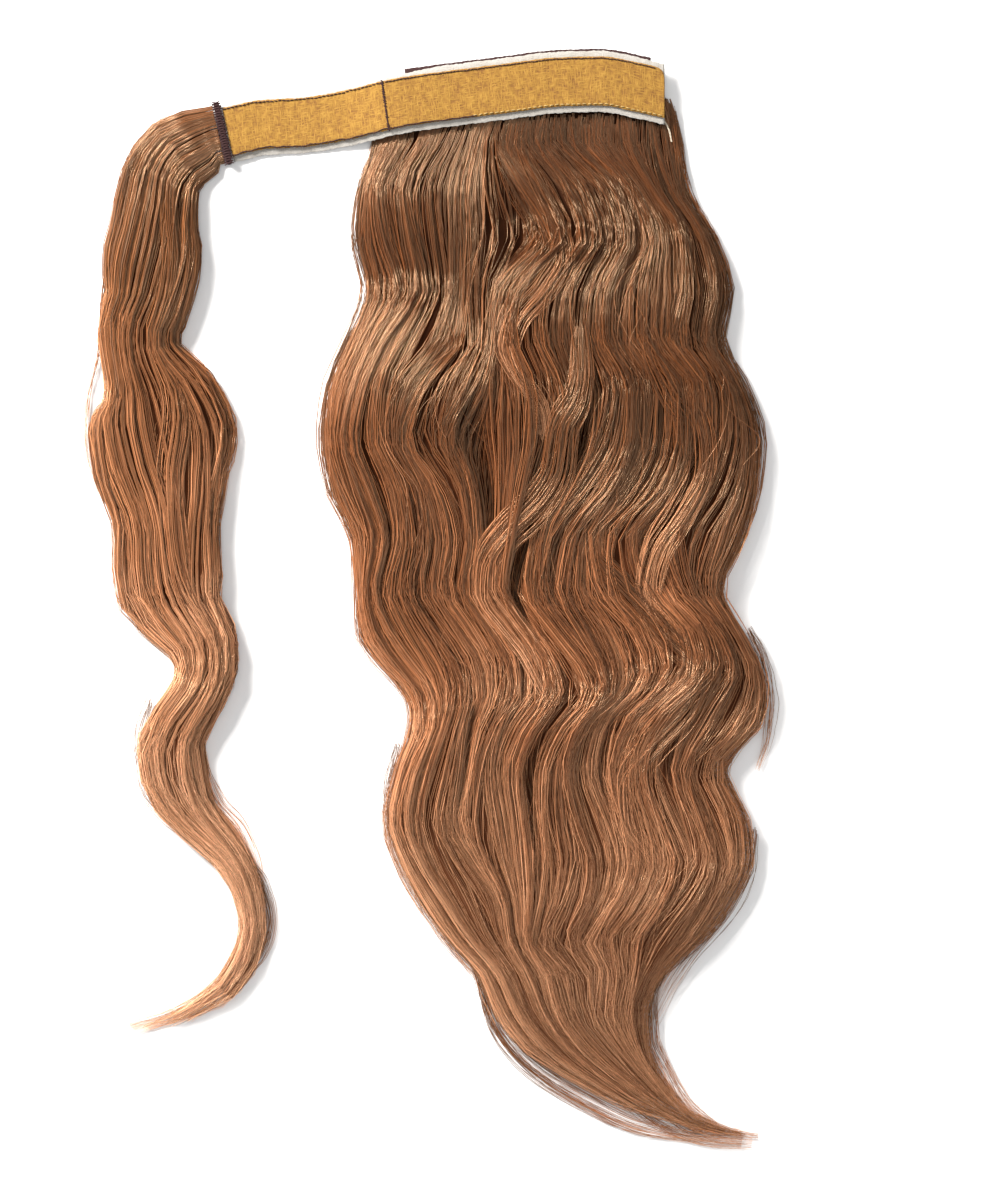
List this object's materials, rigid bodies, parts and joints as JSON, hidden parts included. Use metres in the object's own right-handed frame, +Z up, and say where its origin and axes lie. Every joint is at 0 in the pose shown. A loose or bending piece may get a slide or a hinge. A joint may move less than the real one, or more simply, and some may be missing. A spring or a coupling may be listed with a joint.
{
  "type": "wrap-around ponytail hairpiece",
  "caption": "Wavy ponytail hairpiece lying flat, with a woven loop-tape strap along its root and a narrow wrap lock sewn to the strap's end.",
  "frame": {"origin": "centre of the bounding box at the table's height, under the hair", "axes": "+Y along the hair from its tip towards the strap, +X towards the strap's free end, +Z up from the table"},
  "size_m": [0.3402, 0.5432, 0.0247],
  "materials": {
    "hair": "glossy wavy hair, warm brown, lighter to the ends",
    "loop_tape": "woven loop tape, gold",
    "backing_cloth": "off-white woven ribbon",
    "weft_thread": "dark brown sewing thread"
  },
  "bodies": {
    "root": {"strap_backing": "backing_cloth", "loop_tape_short": "loop_tape", "loop_tape_long": "loop_tape", "weft_band": "weft_thread", "ponytail_hair": "hair", "wrap_band": "weft_thread", "wrap_lock": "hair"}
  },
  "joints": []
}
